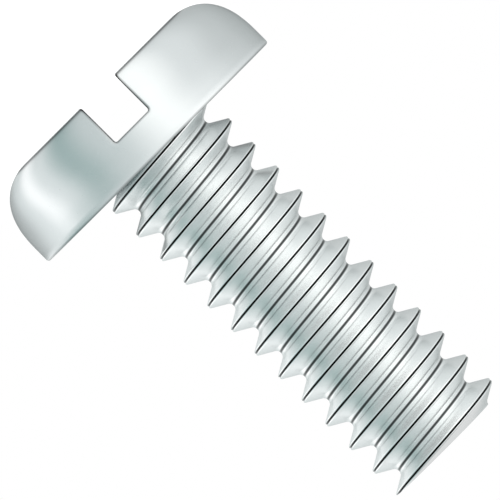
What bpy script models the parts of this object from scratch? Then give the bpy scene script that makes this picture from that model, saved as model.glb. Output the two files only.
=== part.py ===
"""Slotted pan head machine screw, No. 4-40 UNC x 5/16 in, right-hand thread.

One solid, in metres. The screw stands on its head: the flat top of the head is
on z = 0, the shank points up +Z to its plain end, and the slot runs along Y.
"""

import math

import bmesh
import bpy

# Head: a flat top, a curved shoulder, a straight side and a flat bearing face
HEAD_DIAMETER = 0.005901
HEAD_HEIGHT = 0.001647
HEAD_SIDE_HEIGHT = 0.000317
HEAD_FLAT_DIAMETER = 0.003659
SHOULDER_EXPONENT = 2.45  # 2 is a quarter of an ellipse, and more is squarer

# Driver slot, cut right across the head
SLOT_WIDTH = 0.000893
SLOT_DEPTH = 0.000945

# Shank, threaded from the bearing face to its plain end
SHANK_LENGTH = 0.007818
MAJOR_DIAMETER = 0.002813
PITCH = 0.0254 / 40
FLANK_ANGLE = math.radians(60)  # between the two flanks of a groove
CREST_FLAT = 0.125 * PITCH
ROOT_FLAT = 0.225 * PITCH
CREST_OFFSET = 0.335 * PITCH  # from the bearing face to the first crest on the +X side

# How far a cutter reaches past what it cuts
OVERCUT = 0.0005

# Facets
ROUND_STEPS = 64
SHOULDER_STEPS = 10
WELD_DISTANCE = 1e-7
SHARP_ANGLE = math.radians(28)

METAL_COLOUR = (0.62, 0.65, 0.66, 1.0)
METAL_ROUGHNESS = 0.28


def clear_scene():
    """Empties the scene, so that a second run starts afresh."""
    for old in list(bpy.data.objects):
        bpy.data.objects.remove(old, do_unlink=True)
    for old in list(bpy.data.collections):
        bpy.data.collections.remove(old)


def new_collection(name):
    """A new collection in the scene."""
    collection = bpy.data.collections.new(name)
    bpy.context.scene.collection.children.link(collection)
    return collection


def new_object(name, mesh, collection):
    """A new object in a collection."""
    thing = bpy.data.objects.new(name, mesh)
    collection.objects.link(thing)
    return thing


def bright_zinc():
    """Zinc-plated steel."""
    material = bpy.data.materials.new("bright_zinc")
    material.use_nodes = True
    shader = material.node_tree.nodes["Principled BSDF"]
    shader.inputs["Base Color"].default_value = METAL_COLOUR
    shader.inputs["Metallic"].default_value = 1.0
    shader.inputs["Roughness"].default_value = METAL_ROUGHNESS
    return material


def turned(name, profile, collection, turns=1, rise=0.0):
    """A (radius, height) profile revolved about Z, climbing by the rise in each turn."""
    mesh = bpy.data.meshes.new(name)
    corners = [(radius, 0.0, height) for radius, height in profile]
    edges = [(i, i + 1) for i in range(len(corners) - 1)]
    mesh.from_pydata(corners, edges, [])
    thing = new_object(name, mesh, collection)
    screw = thing.modifiers.new("Turn", "SCREW")
    screw.axis = "Z"
    screw.angle = math.tau
    screw.screw_offset = rise
    screw.iterations = turns
    screw.steps = ROUND_STEPS
    screw.render_steps = ROUND_STEPS
    screw.use_merge_vertices = True
    screw.merge_threshold = WELD_DISTANCE
    return thing


def modified_mesh(thing):
    """The object's mesh as its modifiers leave it."""
    evaluated = thing.evaluated_get(bpy.context.evaluated_depsgraph_get())
    return bpy.data.meshes.new_from_object(evaluated)


def shoulder():
    """The curve from the straight side down and in to the flat top."""
    flat_radius = HEAD_FLAT_DIAMETER / 2
    width = HEAD_DIAMETER / 2 - flat_radius
    height = HEAD_HEIGHT - HEAD_SIDE_HEIGHT
    points = []
    for i in range(SHOULDER_STEPS + 1):
        angle = math.pi / 2 * i / SHOULDER_STEPS
        out = math.cos(angle) ** (2 / SHOULDER_EXPONENT)
        down = math.sin(angle) ** (2 / SHOULDER_EXPONENT)
        points.append((flat_radius + width * out, height * (1 - down)))
    return points


def build_head(collection):
    """The head as it is before its slot is cut."""
    bearing_face = [(0.0, HEAD_HEIGHT), (HEAD_DIAMETER / 2, HEAD_HEIGHT)]
    flat_top = [(0.0, 0.0)]
    return turned("screw", bearing_face + shoulder() + flat_top, collection)


def thread_profile(crest_height):
    """One pitch of the thread, down from the top of a root through the crest below it."""
    flank_height = (PITCH - CREST_FLAT - ROOT_FLAT) / 2
    major = MAJOR_DIAMETER / 2
    minor = major - flank_height / math.tan(FLANK_ANGLE / 2)
    half_crest = CREST_FLAT / 2
    half_ridge = half_crest + flank_height
    return [
        (minor, crest_height + half_ridge + ROOT_FLAT),
        (minor, crest_height + half_ridge),
        (major, crest_height + half_crest),
        (major, crest_height - half_crest),
        (minor, crest_height - half_ridge),
    ]


def close_ends(mesh):
    """Joins the turns, then closes each open end with a fan to a point on the axis."""
    shape = bmesh.new()
    shape.from_mesh(mesh)
    bmesh.ops.remove_doubles(shape, verts=shape.verts, dist=WELD_DISTANCE)
    middle = sum(vert.co.z for vert in shape.verts) / len(shape.verts)
    rim = [edge for edge in shape.edges if edge.is_boundary]
    for is_lower in (True, False):
        end = [edge for edge in rim if (edge.verts[0].co.z < middle) == is_lower]
        height = sum(edge.verts[0].co.z for edge in end) / len(end)
        fan = bmesh.ops.extrude_edge_only(shape, edges=end)["geom"]
        tips = [item for item in fan if isinstance(item, bmesh.types.BMVert)]
        bmesh.ops.pointmerge(shape, verts=tips, merge_co=(0.0, 0.0, height))
    bmesh.ops.recalc_face_normals(shape, faces=shape.faces)
    shape.to_mesh(mesh)
    shape.free()


def box(name, low, high, collection):
    """A box between two corners."""
    mesh = bpy.data.meshes.new(name)
    shape = bmesh.new()
    bmesh.ops.create_cube(shape, size=1.0)
    for vert in shape.verts:
        for axis in range(3):
            centre = (low[axis] + high[axis]) / 2
            vert.co[axis] = centre + vert.co[axis] * (high[axis] - low[axis])
    shape.to_mesh(mesh)
    shape.free()
    return new_object(name, mesh, collection)


def combine(target, operation, other):
    """Joins, cuts or trims one solid with another, which is then hidden."""
    boolean = target.modifiers.new(other.name, "BOOLEAN")
    boolean.operation = operation
    boolean.solver = "EXACT"
    boolean.object = other
    other.hide_render = True
    other.display_type = "WIRE"


def build_shank(collection):
    """The threaded shank, rooted halfway into the web between slot and bearing face."""
    root = (SLOT_DEPTH + HEAD_HEIGHT) / 2
    end = HEAD_HEIGHT + SHANK_LENGTH
    # The sweep starts and stops more than a turn outside the shank, and is trimmed flat
    turns_below = math.ceil((HEAD_HEIGHT - root) / PITCH) + 2
    turns = turns_below + math.ceil(SHANK_LENGTH / PITCH) + 1
    first_crest = HEAD_HEIGHT + CREST_OFFSET - turns_below * PITCH
    sweep = turned("thread_sweep", thread_profile(first_crest), collection, turns, PITCH)
    shank = new_object("threaded_shank", modified_mesh(sweep), collection)
    close_ends(shank.data)
    bpy.data.objects.remove(sweep, do_unlink=True)
    reach = MAJOR_DIAMETER / 2 + OVERCUT
    trim = box("shank_trim", (-reach, -reach, root), (reach, reach, end), collection)
    combine(shank, "INTERSECT", trim)
    return shank


def slot_cutter(collection):
    """The driver slot, open at the top of the head and at both of its ends."""
    half_width = SLOT_WIDTH / 2
    reach = HEAD_DIAMETER / 2 + OVERCUT
    low = (-half_width, -reach, -OVERCUT)
    high = (half_width, reach, SLOT_DEPTH)
    return box("slot_cutter", low, high, collection)


def finish(screw):
    """Applies the modifiers, shades round faces smooth and leaves the corners sharp."""
    mesh = modified_mesh(screw)
    screw.modifiers.clear()
    screw.data = mesh
    mesh.shade_smooth()
    mesh.set_sharp_from_angle(angle=SHARP_ANGLE)
    mesh.materials.clear()
    mesh.materials.append(bright_zinc())


def main():
    """Models the screw."""
    clear_scene()
    part = new_collection("pan_head_machine_screw")
    cutters = new_collection("cutters")
    screw = build_head(part)
    combine(screw, "UNION", build_shank(cutters))
    combine(screw, "DIFFERENCE", slot_cutter(cutters))
    finish(screw)


main()
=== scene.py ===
"""Looks of a slotted pan head machine screw: bright zinc plate over steel.

The screw stands on its head on a white floor. The camera looks at it from the
side and is rolled, so that the shank points down to the right. Shapes are made
in millimetres and scaled to metres at the end.
"""

import math

import bmesh
import bpy
from mathutils import Matrix, Vector


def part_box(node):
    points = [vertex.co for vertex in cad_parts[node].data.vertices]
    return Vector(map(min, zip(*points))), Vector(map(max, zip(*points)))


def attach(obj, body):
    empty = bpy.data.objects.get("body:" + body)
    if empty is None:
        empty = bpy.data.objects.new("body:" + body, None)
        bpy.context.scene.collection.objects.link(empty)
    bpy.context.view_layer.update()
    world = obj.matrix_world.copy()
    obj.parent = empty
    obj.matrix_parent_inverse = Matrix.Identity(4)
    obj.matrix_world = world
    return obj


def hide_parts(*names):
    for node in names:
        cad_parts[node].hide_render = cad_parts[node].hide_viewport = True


MM = 0.001

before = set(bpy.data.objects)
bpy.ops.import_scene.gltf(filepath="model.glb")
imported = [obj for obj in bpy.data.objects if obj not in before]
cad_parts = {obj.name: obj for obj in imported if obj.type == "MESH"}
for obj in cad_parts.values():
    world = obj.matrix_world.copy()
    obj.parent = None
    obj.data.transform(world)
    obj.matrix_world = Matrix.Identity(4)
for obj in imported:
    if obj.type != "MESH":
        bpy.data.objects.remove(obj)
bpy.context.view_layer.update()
screw_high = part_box("screw")[1]

# Head, in millimetres
HEAD_RADIUS = screw_high.x / MM
HEAD_HEIGHT = 1.647
HEAD_SIDE_HEIGHT = 0.317
FLAT_RADIUS = 3.659 / 2
SHOULDER_EXPONENT = 2.45
SLOT_HALF_WIDTH = 0.893 / 2
SLOT_DEPTH = 0.945

# Shank, in millimetres
END_HEIGHT = screw_high.z / MM
MAJOR_RADIUS = 2.813 / 2
PITCH = 25.4 / 40
HALF_FLANK_ANGLE = math.radians(30)
CREST_FLAT = 0.125 * PITCH
ROOT_FLAT = 0.225 * PITCH
CREST_OFFSET = 0.335 * PITCH

# Roundings that the plain solid leaves out, in millimetres
EDGE_RADIUS = 0.055
END_EDGE_RADIUS = 0.012
SLOT_CORNER_RADIUS = 0.05
CREST_CORNER_RADIUS = 0.03

# The fine seam that rolling leaves along the crest, in millimetres
SEAM_HALF_WIDTH = 0.02
SEAM_DEPTH = 0.02

# Mesh density
EDGE_STEPS = 4
SLOT_CORNER_STEPS = 4
SLOT_FLOOR_STEPS = 8
SHOULDER_STEPS = 26
SIDE_STEPS = 5
HALF_ROUND_STEPS = 96
THREAD_STEPS = 144
CREST_CORNER_STEPS = 3
ROOT_STEPS = 20
SHARP_ANGLE = math.radians(40)

# Turns of thread that go into the head and past the plain end, and are cut off there
SPARE_TURNS_BELOW = 2
SPARE_TURNS_ABOVE = 1

# How near to a height a vertex lies on it, for a cut and for a search, in millimetres
CUT_TOLERANCE = 1e-6
LEVEL_TOLERANCE = 1e-4

# Places of the finishes in the screw's list of materials
HEAD_FINISH = 0
SLOT_FINISH = 1
THREAD_FINISH = 2
END_FINISH = 3

# The middle share of the root's arc that holds painted shade, and the most painted shade at each place,
# where 1 is full. Painted shade is a dark tone standing in for shade and dark reflections at the root, the
# crest's seam, the slot's edges and the head's rim.
# The root's is capped at 1, which widens its dark middle.
ROOT_SHADE_SHARE = 0.25
ROOT_SHADE = 2.5
SEAM_EDGE_SHADE = 0.9
SLOT_EDGE_SHADE = 0.8
RIM_SHADE = 0.75


def rounding(radius):
    """Pairs of distance from an edge and depth below the surface, across its rounding."""
    pairs = []
    for i in range(EDGE_STEPS + 1):
        angle = math.pi / 2 * i / EDGE_STEPS
        pairs.append((radius * (1 - math.cos(angle)), radius * (1 - math.sin(angle))))
    return pairs


def head_surface(height):
    """The head's radius at a height, and its outward normal as (radial, upward)."""
    shoulder_height = HEAD_HEIGHT - HEAD_SIDE_HEIGHT
    if height >= shoulder_height:
        return HEAD_RADIUS, Vector((1.0, 0.0))
    width = HEAD_RADIUS - FLAT_RADIUS
    up = 1 - height / shoulder_height
    out = (1 - up ** SHOULDER_EXPONENT) ** (1 / SHOULDER_EXPONENT)
    outward = out ** (SHOULDER_EXPONENT - 1) / width
    upward = -up ** (SHOULDER_EXPONENT - 1) / shoulder_height
    return FLAT_RADIUS + width * out, Vector((outward, upward)).normalized()


def on_head(x, height, side, depth=0.0):
    """A point on the head at a given x, in front (side -1) or behind (side 1), sunk by a depth."""
    radius, (outward, upward) = head_surface(height)
    y = side * math.sqrt(radius ** 2 - x ** 2)
    return Vector((x, y * (1 - depth * outward / radius), height - depth * upward))


def wall_heights():
    """Heights from the flat top to the slot's rounded corner, closest where the shoulder curves."""
    shoulder_height = HEAD_HEIGHT - HEAD_SIDE_HEIGHT
    last = SLOT_DEPTH - SLOT_CORNER_RADIUS
    end_angle = math.asin((1 - last / shoulder_height) ** (SHOULDER_EXPONENT / 2))
    heights = []
    for i in range(SHOULDER_STEPS + 1):
        angle = math.pi / 2 + (end_angle - math.pi / 2) * i / SHOULDER_STEPS
        heights.append(shoulder_height * (1 - math.sin(angle) ** (2 / SHOULDER_EXPONENT)))
    return heights


def slot_outline(offset):
    """The slot seen end on as (x, height), grown by an offset, from its right wall to its left."""
    half = SLOT_HALF_WIDTH - SLOT_CORNER_RADIUS
    reach = SLOT_CORNER_RADIUS + offset
    right = [(half + reach, height) for height in wall_heights()]
    for i in range(1, SLOT_CORNER_STEPS + 1):
        angle = math.pi / 2 * (1 - i / SLOT_CORNER_STEPS)
        height = SLOT_DEPTH - SLOT_CORNER_RADIUS + reach * math.cos(angle)
        right.append((half + reach * math.sin(angle), height))
    for i in range(1, SLOT_FLOOR_STEPS + 1):
        right.append((half * (1 - i / SLOT_FLOOR_STEPS), SLOT_DEPTH + offset))
    left = [(-x, height) for x, height in reversed(right[:-1])]
    return right + left


def side_arc(radius, height, hand):
    """Points round one side of the head, from beside the slot in front to beside it behind."""
    start = math.acos((SLOT_HALF_WIDTH + EDGE_RADIUS) / radius)
    points = []
    for i in range(1, HALF_ROUND_STEPS):
        angle = start * (1 - 2 * i / HALF_ROUND_STEPS)
        points.append(Vector((hand * radius * math.cos(angle), -radius * math.sin(angle), height)))
    return points


def new_verts(shape, points):
    """Adds vertices to a mesh."""
    return [shape.verts.new(point) for point in points]


def join_rows(shape, first, second, closed=False, material=HEAD_FINISH):
    """A strip of faces between two rows of as many vertices."""
    count = len(first)
    for i in range(count if closed else count - 1):
        j = (i + 1) % count
        face = shape.faces.new((first[i], first[j], second[j], second[i]))
        face.material_index = material


def head_rings():
    """(radius, height, painted shade) of the head's full rings, from under the slot to round its rim."""
    top = HEAD_HEIGHT - EDGE_RADIUS
    bottom = SLOT_DEPTH + 2 * EDGE_RADIUS
    rings = []
    for i in range(SIDE_STEPS):
        height = bottom + (top - bottom) * i / SIDE_STEPS
        rings.append((head_surface(height)[0], height, 0.0))
    for distance, depth in reversed(rounding(EDGE_RADIUS)):
        # Painted shade fades round the rim's rounding, a dark line standing in for shade and dark
        # reflection there. The last ring also bounds the bearing face, which carries none
        painted_shade = RIM_SHADE * (1 - distance / EDGE_RADIUS) if distance else 0.0
        rings.append((HEAD_RADIUS - depth, HEAD_HEIGHT - distance, painted_shade))
    return rings


def build_head(shape):
    """The head with its slot, open at the bearing face. Returns the bearing face's outer ring."""
    shade_layer = shape.verts.layers.float["painted_shade"]
    strips = {}
    for side in (-1, 1):
        rows = []
        for distance, depth in rounding(EDGE_RADIUS):
            outline = slot_outline(distance)
            row = new_verts(shape, [on_head(x, height, side, depth) for x, height in outline])
            # Painted shade over the slot's edge rounding, darkest at the slot's side
            for vert in row:
                vert[shade_layer] = SLOT_EDGE_SHADE * (1 - distance / EDGE_RADIUS)
            rows.append(row)
        for first, second in zip(rows, rows[1:]):
            join_rows(shape, first, second)
        strips[side] = rows
    front = strips[-1]
    back = strips[1]
    join_rows(shape, front[0], back[0], material=SLOT_FINISH)
    for end in (0, -1):
        join_rows(shape, [row[end] for row in front], [row[end] for row in back])
    fields = {hand: build_side(shape, front[-1], back[-1], hand) for hand in (1, -1)}
    corner = SHOULDER_STEPS
    gap = slice(corner, len(front[-1]) - corner)
    ring = front[-1][gap] + fields[-1] + back[-1][gap][::-1] + fields[1][::-1]
    gap_x = [x for x, _ in slot_outline(EDGE_RADIUS)[gap]]
    for radius, height, painted_shade in head_rings():
        points = [Vector((x, -math.sqrt(radius ** 2 - x ** 2), height)) for x in gap_x]
        points += side_arc(radius, height, -1)
        points += [Vector((x, math.sqrt(radius ** 2 - x ** 2), height)) for x in reversed(gap_x)]
        points += reversed(side_arc(radius, height, 1))
        upper = new_verts(shape, points)
        for vert in upper:
            vert[shade_layer] = painted_shade
        join_rows(shape, ring, upper, closed=True)
        ring = upper
    return ring


def build_side(shape, front, back, hand):
    """The flat top and shoulder on one side of the slot. Returns its last row, without its ends."""
    rows = []
    for i, height in enumerate(wall_heights()):
        index = i if hand == 1 else len(front) - 1 - i
        arc = new_verts(shape, side_arc(head_surface(height)[0], height, hand))
        rows.append([front[index]] + arc + [back[index]])
    for first, second in zip(rows, rows[1:]):
        join_rows(shape, first, second)
    middle = HALF_ROUND_STEPS // 2
    near = rows[0][:middle]
    far = rows[0][:middle:-1]
    join_rows(shape, near, far)
    shape.faces.new((near[-1], rows[0][middle], far[-1]))
    return rows[-1][1:-1]


def thread_profile():
    """One pitch of the thread as (radius, height above the crest, painted shade), from flank to flank."""
    tangent = math.tan(HALF_FLANK_ANGLE)
    flank_height = (PITCH - CREST_FLAT - ROOT_FLAT) / 2
    minor = MAJOR_RADIUS - flank_height / tangent
    # The root's arc touches both flanks and the minor radius
    root_radius = ROOT_FLAT / 2 * math.cos(HALF_FLANK_ANGLE) / (1 - math.sin(HALF_FLANK_ANGLE))
    half_root = math.pi / 2 - HALF_FLANK_ANGLE
    crest_turn = math.pi / 2 - HALF_FLANK_ANGLE
    crest_cut = CREST_CORNER_RADIUS * math.tan(crest_turn / 2)
    upper = []
    for i in range(CREST_CORNER_STEPS + 1):
        angle = crest_turn * i / CREST_CORNER_STEPS
        upper.append((
            MAJOR_RADIUS - CREST_CORNER_RADIUS * (1 - math.cos(angle)),
            CREST_FLAT / 2 - crest_cut + CREST_CORNER_RADIUS * math.sin(angle),
            0.0,
        ))
    # Painted shade along the middle of the root, where the groove lies in shade
    root = []
    for i in range(ROOT_STEPS + 1):
        angle = half_root * (2 * i / ROOT_STEPS - 1)
        root.append((
            minor + root_radius * (1 - math.cos(angle)),
            PITCH / 2 + root_radius * math.sin(angle),
            min(1.0, ROOT_SHADE * max(0.0, 1 - abs(angle / half_root) / ROOT_SHADE_SHARE)),
        ))
    lower = [(radius, -height, painted_shade) for radius, height, painted_shade in reversed(upper)]
    # The seam's dark line is painted shade, laid over its small real groove
    seam = [
        (MAJOR_RADIUS, -SEAM_HALF_WIDTH, SEAM_EDGE_SHADE),
        (MAJOR_RADIUS - SEAM_DEPTH, 0.0, 1.0),
        (MAJOR_RADIUS, SEAM_HALF_WIDTH, SEAM_EDGE_SHADE),
    ]
    return lower + seam + upper + root


def build_thread(shape):
    """The thread's helical surface, from below the bearing face to beyond the plain end."""
    profile = thread_profile()
    first_crest = HEAD_HEIGHT + CREST_OFFSET - SPARE_TURNS_BELOW * PITCH
    turns = math.ceil((END_HEIGHT - HEAD_HEIGHT) / PITCH) + SPARE_TURNS_BELOW + SPARE_TURNS_ABOVE
    shade_layer = shape.verts.layers.float.new("painted_shade")
    columns = []
    for step in range(turns * THREAD_STEPS + 1):
        angle = math.tau * step / THREAD_STEPS
        rise = first_crest + PITCH * step / THREAD_STEPS
        column = []
        for radius, height, painted_shade in profile:
            vert = shape.verts.new((radius * math.cos(angle), radius * math.sin(angle), rise + height))
            vert[shade_layer] = painted_shade
            column.append(vert)
        columns.append(column)
    for step in range(len(columns) - 1):
        first = columns[step]
        second = columns[step + 1]
        if step + 1 + THREAD_STEPS < len(columns):
            first = first + [columns[step + THREAD_STEPS][0]]
            second = second + [columns[step + 1 + THREAD_STEPS][0]]
        join_rows(shape, first, second, material=THREAD_FINISH)


def cut_level(shape, height, clear_below=False, clear_above=False):
    """Cuts the mesh at a height."""
    bmesh.ops.bisect_plane(
        shape,
        geom=shape.verts[:] + shape.edges[:] + shape.faces[:],
        dist=CUT_TOLERANCE,
        plane_co=(0, 0, height),
        plane_no=(0, 0, 1),
        clear_inner=clear_below,
        clear_outer=clear_above,
    )


def finish_thread(shape):
    """Trims the thread at the bearing face and at the plain end, and rounds the end's edge."""
    cut_level(shape, HEAD_HEIGHT, clear_below=True)
    cut_level(shape, END_HEIGHT, clear_above=True)
    for distance, _ in rounding(END_EDGE_RADIUS)[1:]:
        cut_level(shape, END_HEIGHT - distance)
    shade_layer = shape.verts.layers.float["painted_shade"]
    for vert in shape.verts:
        # No painted shade along the cut edges
        if vert.is_boundary:
            vert[shade_layer] = 0.0
        distance = END_HEIGHT - vert.co.z
        if distance < END_EDGE_RADIUS:
            depth = END_EDGE_RADIUS - math.sqrt(END_EDGE_RADIUS ** 2 - (END_EDGE_RADIUS - distance) ** 2)
            radius = math.hypot(vert.co.x, vert.co.y)
            vert.co.x *= 1 - depth / radius
            vert.co.y *= 1 - depth / radius


def open_edges(shape, height):
    """The open edges at a height."""
    return [
        edge
        for edge in shape.edges
        if edge.is_boundary and all(abs(vert.co.z - height) < LEVEL_TOLERANCE for vert in edge.verts)
    ]


def build_screw():
    """The screw's visible surface."""
    shape = bmesh.new()
    build_thread(shape)
    finish_thread(shape)
    end = bmesh.ops.contextual_create(shape, geom=open_edges(shape, END_HEIGHT))
    for face in end["faces"]:
        face.material_index = END_FINISH
    build_head(shape)
    bmesh.ops.triangle_fill(shape, edges=open_edges(shape, HEAD_HEIGHT), use_beauty=True)
    bmesh.ops.recalc_face_normals(shape, faces=shape.faces)
    bmesh.ops.scale(shape, vec=(MM, MM, MM), verts=shape.verts)
    mesh = bpy.data.meshes.new("screw_surface")
    shape.to_mesh(mesh)
    shape.free()
    mesh.shade_smooth()
    mesh.set_sharp_from_angle(angle=SHARP_ANGLE)
    screw = bpy.data.objects.new("screw_surface", mesh)
    bpy.context.scene.collection.objects.link(screw)
    weighted = screw.modifiers.new("Flat faces stay flat", "WEIGHTED_NORMAL")
    weighted.keep_sharp = True
    return screw


# The two tones that the plate varies between, on the head and its slot, the thread and the plain end. The
# thread's are lighter than the head's, painted light that makes up for the light its grooves lose between
# bounces
HEAD_COLOURS = ((0.74, 0.765, 0.77, 1.0), (0.80, 0.825, 0.83, 1.0))
THREAD_COLOURS = ((0.89, 0.91, 0.91, 1.0), (0.94, 0.955, 0.955, 1.0))
END_COLOURS = ((0.50, 0.52, 0.53, 1.0), (0.98, 0.99, 0.99, 1.0))
# The dark tone of the painted shade in the grooves and along edges
PAINTED_SHADE_COLOUR = (0.05, 0.055, 0.055, 1.0)

# The tint that darkens the plate where it turns away, and its gloss
ZINC_EDGE_TINT = (0.78, 0.79, 0.79, 1.0)
ZINC_ROUGHNESS = 0.25
ROUGHNESS_SPREAD = 0.05
ZINC_ANISOTROPY = 0.3
QUARTER_TURN = 0.25

# How many patches, grains and lines a millimetre holds, and how often a line changes along its length
PATCHES_PER_MM = 0.9
GRAINS_PER_MM = 26.0
SLOT_LINES_PER_MM = 30
END_LINES_PER_MM = 8
CHANGES_PER_MM = 0.6

# How far grain and lines stand out, in metres, and how much of it shows
BUMP_DISTANCE = 0.00001
GRAIN_BUMP = 0.03
LINE_BUMP = 0.25


def add_node(tree, kind, label="", **settings):
    """A node with its plain settings."""
    node = tree.nodes.new(kind)
    node.label = label
    for name, value in settings.items():
        setattr(node, name, value)
    return node


def set_inputs(node, **values):
    """Sets a node's inputs by their names, with _ for a space."""
    for name, value in values.items():
        node.inputs[name.replace("_", " ")].default_value = value


def math_node(tree, operation, first, second=None):
    """The output of a maths node on two links or numbers."""
    node = add_node(tree, "ShaderNodeMath", operation=operation)
    for socket, value in zip(node.inputs, (first, second)):
        if isinstance(value, bpy.types.NodeSocket):
            tree.links.new(value, socket)
        elif value is not None:
            socket.default_value = value
    return node.outputs[0]


def smooth_range(tree, value, start, end, low, high, label=""):
    """A value's smooth passage from low at its start to high at its end."""
    node = add_node(tree, "ShaderNodeMapRange", label, interpolation_type="SMOOTHSTEP")
    set_inputs(node, From_Min=start, From_Max=end, To_Min=low, To_Max=high)
    tree.links.new(value, node.inputs["Value"])
    return node.outputs["Result"]


def object_axes(tree):
    """The outputs X, Y and Z of the place on the object."""
    place = add_node(tree, "ShaderNodeTexCoord")
    split = add_node(tree, "ShaderNodeSeparateXYZ")
    tree.links.new(place.outputs["Object"], split.inputs["Vector"])
    return split.outputs["X"], split.outputs["Y"], split.outputs["Z"]


def new_material(name):
    """A material with a node tree, its tree and its shader."""
    material = bpy.data.materials.new(name)
    material.use_nodes = True
    tree = material.node_tree
    return material, tree, tree.nodes["Principled BSDF"]


def scaled_place(tree, scale, label):
    """The place on the object, scaled."""
    place = add_node(tree, "ShaderNodeTexCoord")
    mapping = add_node(tree, "ShaderNodeMapping", label)
    set_inputs(mapping, Scale=scale)
    tree.links.new(place.outputs["Object"], mapping.inputs["Vector"])
    return mapping.outputs["Vector"]


def noise(tree, place, label, **values):
    """A noise's value at a place."""
    texture = add_node(tree, "ShaderNodeTexNoise", label)
    set_inputs(texture, **values)
    tree.links.new(place, texture.inputs["Vector"])
    return texture.outputs["Fac"]


def toned(tree, factor, colours):
    """A colour between two tones."""
    tone = add_node(tree, "ShaderNodeMix", "Tone", data_type="RGBA")
    tone.inputs["A"].default_value = colours[0]
    tone.inputs["B"].default_value = colours[1]
    tree.links.new(factor, tone.inputs["Factor"])
    return tone.outputs["Result"]


def add_bump(tree, shader, height, strength, label):
    """Raises the surface a little with a value between 0 and 1."""
    bump = add_node(tree, "ShaderNodeBump", label)
    set_inputs(bump, Strength=strength, Distance=BUMP_DISTANCE)
    tree.links.new(height, bump.inputs["Height"])
    tree.links.new(bump.outputs["Normal"], shader.inputs["Normal"])


def zinc(name, colours):
    """Bright zinc plate, a little uneven in tone and gloss, with painted shade in its grooves and along
    its edges.
    """
    material, tree, shader = new_material(name)
    link = tree.links.new
    place = scaled_place(tree, (1 / MM, 1 / MM, 1 / MM), "Metres to millimetres")

    patches = noise(tree, place, "Patchy plating", Scale=PATCHES_PER_MM, Detail=3.0, Roughness=0.55)
    # Painted shade: the dark tone is mixed in by the mesh's weight, standing in for shade and dark
    # reflections
    painted_shade = add_node(tree, "ShaderNodeAttribute", attribute_name="painted_shade")
    shaded_tone = add_node(tree, "ShaderNodeMix", "Painted shade in the grooves and along edges", data_type="RGBA")
    shaded_tone.inputs["B"].default_value = PAINTED_SHADE_COLOUR
    link(painted_shade.outputs["Fac"], shaded_tone.inputs["Factor"])
    link(toned(tree, patches, colours), shaded_tone.inputs["A"])
    link(shaded_tone.outputs["Result"], shader.inputs["Base Color"])

    grain = noise(tree, place, "Fine grain of the plating", Scale=GRAINS_PER_MM, Detail=2.0, Roughness=0.5)
    gloss = add_node(tree, "ShaderNodeMapRange", "Gloss")
    set_inputs(gloss, To_Min=ZINC_ROUGHNESS - ROUGHNESS_SPREAD, To_Max=ZINC_ROUGHNESS + ROUGHNESS_SPREAD)
    link(grain, gloss.inputs["Value"])
    link(gloss.outputs["Result"], shader.inputs["Roughness"])
    add_bump(tree, shader, grain, GRAIN_BUMP, "Grain")

    around = add_node(tree, "ShaderNodeTangent", direction_type="RADIAL", axis="Z")
    link(around.outputs["Tangent"], shader.inputs["Tangent"])
    set_inputs(shader, Metallic=1.0, Specular_Tint=ZINC_EDGE_TINT)
    set_inputs(shader, Anisotropic=ZINC_ANISOTROPY, Anisotropic_Rotation=QUARTER_TURN)
    return material


def lined_zinc(name, colours, lines_per_mm):
    """The same plate over straight lines along Y, as a saw or a cut-off tool leaves them."""
    material, tree, shader = new_material(name)
    scale = (lines_per_mm / MM, CHANGES_PER_MM / MM, lines_per_mm / MM)
    place = scaled_place(tree, scale, "Long and narrow")
    lines = noise(tree, place, "Cut lines", Scale=1.0, Detail=3.0, Roughness=0.6)
    tree.links.new(toned(tree, lines, colours), shader.inputs["Base Color"])
    add_bump(tree, shader, lines, LINE_BUMP, "Lines")
    set_inputs(shader, Metallic=1.0, Specular_Tint=ZINC_EDGE_TINT, Roughness=ZINC_ROUGHNESS)
    return material


# Stage, in metres
TENT_RADIUS = 0.015
TENT_HEIGHT = 0.020
BASE_CARD_LIFT = 0.00002
SHELF_RADIUS = 0.0022
SHELF_HEIGHT = 0.0025
FLOOR_SIZE = 3.0

# Sides of the tent's round sheets
TENT_STEPS = 96

# How bright a white panel of the tent is, the roof's two tones, and how far from its middle they blend
TENT_BRIGHTNESS = 1.4
ROOF_FRONT = 0.4
ROOF_BACK = 0.8
ROOF_BLEND = 0.002

# The floor's own glow, the share of light that it sends back, and the world's light on things
FLOOR_GLOW = 0.75
FLOOR_DIFFUSE = 0.35
WORLD_LIGHT = 0.75

# An azimuth counts double within this distance of the axis, and less further out, so the panels fan out
FAN_RADIUS = 0.0012
SHELF_FAN_RADIUS = 0.0009

# How much wider the panels are for the thread than for the head, in front and behind, because its grooves
# turn light further round, and the heights between which they widen
FRONT_WIDENING = 1.9
BACK_WIDENING = 1.45
WIDENING_START = 0.0016
WIDENING_END = 0.0025

# The base card is dark under the head, where the head shades its own foot
SHADE_RADIUS = 0.0021
SHADE_EDGE = 0.0002
SHADE_DEPTH = 0.95

# Colours of the tent's panels by azimuth, in degrees from the camera towards -X, and the last azimuth
PANEL_LIMIT = 225
TENT_PANELS = (
    (-225, (0.62, 0.65, 0.65)),
    (-196, (0.24, 0.25, 0.25)),
    (-180, (0.22, 0.23, 0.23)),
    (-149, (0.42, 0.44, 0.44)),
    (-113, (0.66, 0.69, 0.69)),
    (-93, (0.95, 0.95, 0.95)),
    (-73, (0.64, 0.67, 0.67)),
    (-46, (0.31, 0.39, 0.385)),
    (-20, (0.49, 0.53, 0.53)),
    (24, (0.935, 0.94, 0.93)),
    (57, (0.64, 0.66, 0.66)),
    (106, (0.49, 0.51, 0.51)),
    (149, (0.42, 0.44, 0.44)),
    (180, (0.22, 0.23, 0.23)),
    (196, (0.24, 0.25, 0.25)),
    (225, (0.62, 0.65, 0.65)),
)


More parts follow.
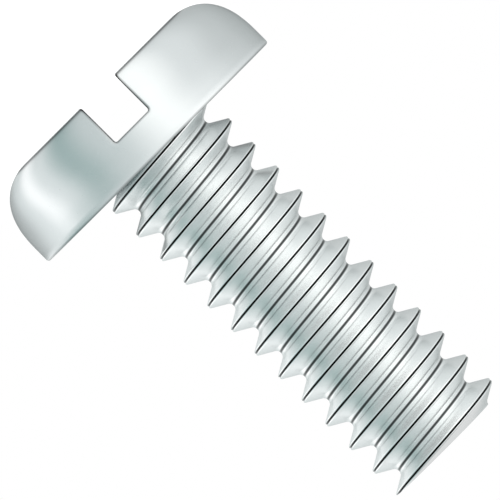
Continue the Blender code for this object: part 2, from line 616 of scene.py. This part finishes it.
def white_to_sight(tree, strength_socket, plain_value):
    """White for rays from the camera and for those that metal or glass sends on, plain for others."""
    rays = add_node(tree, "ShaderNodeLightPath").outputs
    either = math_node(tree, "MAXIMUM", rays["Is Camera Ray"], rays["Is Glossy Ray"])
    any_of = math_node(tree, "MAXIMUM", either, rays["Is Transmission Ray"])
    level = add_node(tree, "ShaderNodeMapRange")
    set_inputs(level, To_Min=plain_value, To_Max=1.0)
    tree.links.new(any_of, level.inputs["Value"])
    tree.links.new(level.outputs["Result"], strength_socket)


def build_world():
    """A plain white studio."""
    world = bpy.data.worlds.new("studio")
    world.use_nodes = True
    bpy.context.scene.world = world
    background = world.node_tree.nodes["Background"]
    background.inputs["Color"].default_value = (1.0, 1.0, 1.0, 1.0)
    white_to_sight(world.node_tree, background.inputs["Strength"], WORLD_LIGHT)


def bare_material(name):
    """A material without a shader, its tree and its output."""
    material = bpy.data.materials.new(name)
    material.use_nodes = True
    tree = material.node_tree
    tree.nodes.clear()
    return material, tree, add_node(tree, "ShaderNodeOutputMaterial")


def floor_material():
    """A glow that shows white, and a dull surface that takes the screw's shadow."""
    material, tree, output = bare_material("white_floor")
    both = add_node(tree, "ShaderNodeAddShader")
    diffuse = add_node(tree, "ShaderNodeBsdfDiffuse")
    set_inputs(diffuse, Color=(FLOOR_DIFFUSE, FLOOR_DIFFUSE, FLOOR_DIFFUSE, 1.0))
    glow = add_node(tree, "ShaderNodeEmission")
    white_to_sight(tree, glow.inputs["Strength"], 0.0)
    set_inputs(glow, Color=(FLOOR_GLOW, FLOOR_GLOW, FLOOR_GLOW, 1.0))
    tree.links.new(diffuse.outputs["BSDF"], both.inputs[0])
    tree.links.new(glow.outputs["Emission"], both.inputs[1])
    tree.links.new(both.outputs["Shader"], output.inputs["Surface"])
    return material


def build_floor():
    """A white floor that keeps the screw's shadow."""
    bpy.ops.mesh.primitive_plane_add(size=FLOOR_SIZE, location=(0, 0, 0))
    floor = bpy.context.object
    floor.name = "floor"
    floor.data.materials.append(floor_material())


def glowing_material(name):
    """A material that only glows, its tree and its emission node."""
    material, tree, output = bare_material(name)
    glow = add_node(tree, "ShaderNodeEmission")
    tree.links.new(glow.outputs["Emission"], output.inputs["Surface"])
    return material, tree, glow


def panel_direction(tree, azimuth, height):
    """Which panel shows at an azimuth and a height, as an angle."""
    turned = math_node(tree, "ABSOLUTE", azimuth)
    share = math_node(tree, "MINIMUM", math_node(tree, "DIVIDE", turned, math.pi), 1.0)
    narrowing = add_node(tree, "ShaderNodeMapRange", "Front against back")
    set_inputs(narrowing, To_Min=1 / FRONT_WIDENING, To_Max=1 / BACK_WIDENING)
    tree.links.new(math_node(tree, "MULTIPLY", share, share), narrowing.inputs["Value"])
    factor = add_node(tree, "ShaderNodeMix", "Wider with height")
    rise = smooth_range(tree, height, WIDENING_START, WIDENING_END, 0.0, 1.0, "Head against thread")
    tree.links.new(rise, factor.inputs["Factor"])
    factor.inputs["A"].default_value = 1.0
    tree.links.new(narrowing.outputs["Result"], factor.inputs["B"])
    return math_node(tree, "MULTIPLY", azimuth, factor.outputs["Result"])


def panel_ramp(tree):
    """A colour ramp over the tent's panels."""
    ramp = add_node(tree, "ShaderNodeValToRGB")
    ramp.color_ramp.interpolation = "EASE"
    stops = ramp.color_ramp.elements
    for degrees, colour in TENT_PANELS[1:-1]:
        stops.new(degrees / (2 * PANEL_LIMIT) + 0.5).color = colour + (1.0,)
    stops[0].color = TENT_PANELS[0][1] + (1.0,)
    stops[-1].color = TENT_PANELS[-1][1] + (1.0,)
    return ramp


def panel_material(name, fan_radius):
    """Light and grey panels round the screw, one tone for each azimuth."""
    material, tree, glow = glowing_material(name)
    link = tree.links.new
    x, y, height = object_axes(tree)
    leftward = math_node(tree, "MULTIPLY", x, -1.0)
    frontward = math_node(tree, "MULTIPLY", y, -1.0)
    azimuth = math_node(tree, "ARCTAN2", leftward, frontward)
    squares = math_node(tree, "ADD", math_node(tree, "MULTIPLY", x, x), math_node(tree, "MULTIPLY", y, y))
    distance = math_node(tree, "SQRT", squares)
    fan = math_node(tree, "MINIMUM", math_node(tree, "DIVIDE", fan_radius, distance), 1.0)
    fanned = math_node(tree, "MULTIPLY", azimuth, math_node(tree, "ADD", fan, 1.0))
    turn = add_node(tree, "ShaderNodeMapRange")
    set_inputs(turn, From_Min=-math.radians(PANEL_LIMIT), From_Max=math.radians(PANEL_LIMIT))
    link(panel_direction(tree, fanned, height), turn.inputs["Value"])
    ramp = panel_ramp(tree)
    link(turn.outputs["Result"], ramp.inputs["Fac"])
    link(ramp.outputs["Color"], glow.inputs["Color"])
    dark = TENT_BRIGHTNESS * (1 - SHADE_DEPTH)
    light_start = SHADE_RADIUS + SHADE_EDGE
    foot = smooth_range(tree, distance, SHADE_RADIUS, light_start, dark, TENT_BRIGHTNESS, "Foot")
    link(foot, glow.inputs["Strength"])
    return material


def roof_material():
    """A light sheet over the back of the tent and a greyer one over its front."""
    material, tree, glow = glowing_material("tent_roof")
    y = object_axes(tree)[1]
    tone = smooth_range(tree, y, -ROOF_BLEND, ROOF_BLEND, ROOF_FRONT, ROOF_BACK, "Front to back")
    tree.links.new(tone, glow.inputs["Strength"])
    return material


def add_reflector(card, material):
    """Gives a stage object its material and lets only the metal see it."""
    card.name = material.name
    card.data.materials.append(material)
    card.visible_camera = False
    card.visible_diffuse = False
    card.visible_shadow = False


def tent_sheet(edges, material):
    """Part of the tent between two circles, each given as (radius, height)."""
    shape = bmesh.new()
    rows = []
    for radius, height in edges:
        angles = [math.tau * i / TENT_STEPS for i in range(TENT_STEPS)]
        points = [Vector((radius * math.cos(angle), radius * math.sin(angle), height)) for angle in angles]
        rows.append(new_verts(shape, points))
    join_rows(shape, *rows, closed=True)
    mesh = bpy.data.meshes.new("sheet")
    shape.to_mesh(mesh)
    shape.free()
    sheet = bpy.data.objects.new("sheet", mesh)
    bpy.context.scene.collection.objects.link(sheet)
    add_reflector(sheet, material)


def build_tent():
    """A wall of panels, a base card, a roof and a shelf round the thread, seen only in the metal."""
    panels = panel_material("light_panels", FAN_RADIUS)
    tent_sheet([(TENT_RADIUS, 0.0), (TENT_RADIUS, TENT_HEIGHT)], panels)
    shelf_panels = panel_material("shelf_panels", SHELF_FAN_RADIUS)
    tent_sheet([(SHELF_RADIUS, SHELF_HEIGHT), (TENT_RADIUS, SHELF_HEIGHT)], shelf_panels)
    for height, material in ((BASE_CARD_LIFT, panels), (TENT_HEIGHT, roof_material())):
        bpy.ops.mesh.primitive_circle_add(
            vertices=TENT_STEPS, radius=TENT_RADIUS, fill_type="NGON", location=(0, 0, height))
        add_reflector(bpy.context.object, material)


def build_lamp(name, azimuth, elevation, distance, size, power):
    """A soft square lamp that looks at the screw."""
    data = bpy.data.lights.new(name, "AREA")
    data.size = size
    data.energy = power
    lamp = bpy.data.objects.new(name, data)
    bpy.context.scene.collection.objects.link(lamp)
    around = math.radians(azimuth)
    above = math.radians(elevation)
    level = math.cos(above)
    towards = Vector((-math.sin(around) * level, -math.cos(around) * level, math.sin(above)))
    lamp.location = towards * distance
    lamp.rotation_euler = towards.to_track_quat("Z", "Y").to_euler()
    lamp.visible_glossy = False


# Camera, in millimetres: the view's width, the point at its centre, and the camera's own height and lens
FRAME_WIDTH = 9.503
FRAME_CENTRE = Vector((0.083, 0.0, 4.190))
CAMERA_HEIGHT = 0.60
LENS = 1500.0
SENSOR = 36.0


def build_camera():
    """A long lens that looks along +Y, rolled so that the shank runs down to the right."""
    distance = FRAME_WIDTH * LENS / SENSOR
    data = bpy.data.cameras.new("camera")
    data.lens = LENS
    data.sensor_width = SENSOR
    data.clip_start = 0.01
    data.clip_end = 10.0
    camera = bpy.data.objects.new("camera", data)
    bpy.context.scene.collection.objects.link(camera)
    place = Vector((FRAME_CENTRE.x, -distance, CAMERA_HEIGHT))
    backward = (place - FRAME_CENTRE).normalized()
    rightward = Vector((-1.0, 0.0, 1.0))
    rightward = (rightward - backward * rightward.dot(backward)).normalized()
    upward = backward.cross(rightward)
    camera.rotation_euler = Matrix((rightward, upward, backward)).transposed().to_euler()
    camera.location = place * MM
    bpy.context.scene.camera = camera


screw = build_screw()
# The finishes, in the order of their places in the list
for finish in (
    zinc("bright_zinc", HEAD_COLOURS),
    lined_zinc("sawn_zinc", HEAD_COLOURS, SLOT_LINES_PER_MM),
    zinc("rolled_zinc", THREAD_COLOURS),
    lined_zinc("cut_zinc", END_COLOURS, END_LINES_PER_MM),
):
    screw.data.materials.append(finish)
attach(screw, "root")
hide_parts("screw")

build_world()
build_floor()
build_tent()
build_lamp("key", azimuth=40, elevation=55, distance=0.3, size=0.15, power=1.2)
build_camera()
bpy.context.scene.view_settings.view_transform = "Standard"
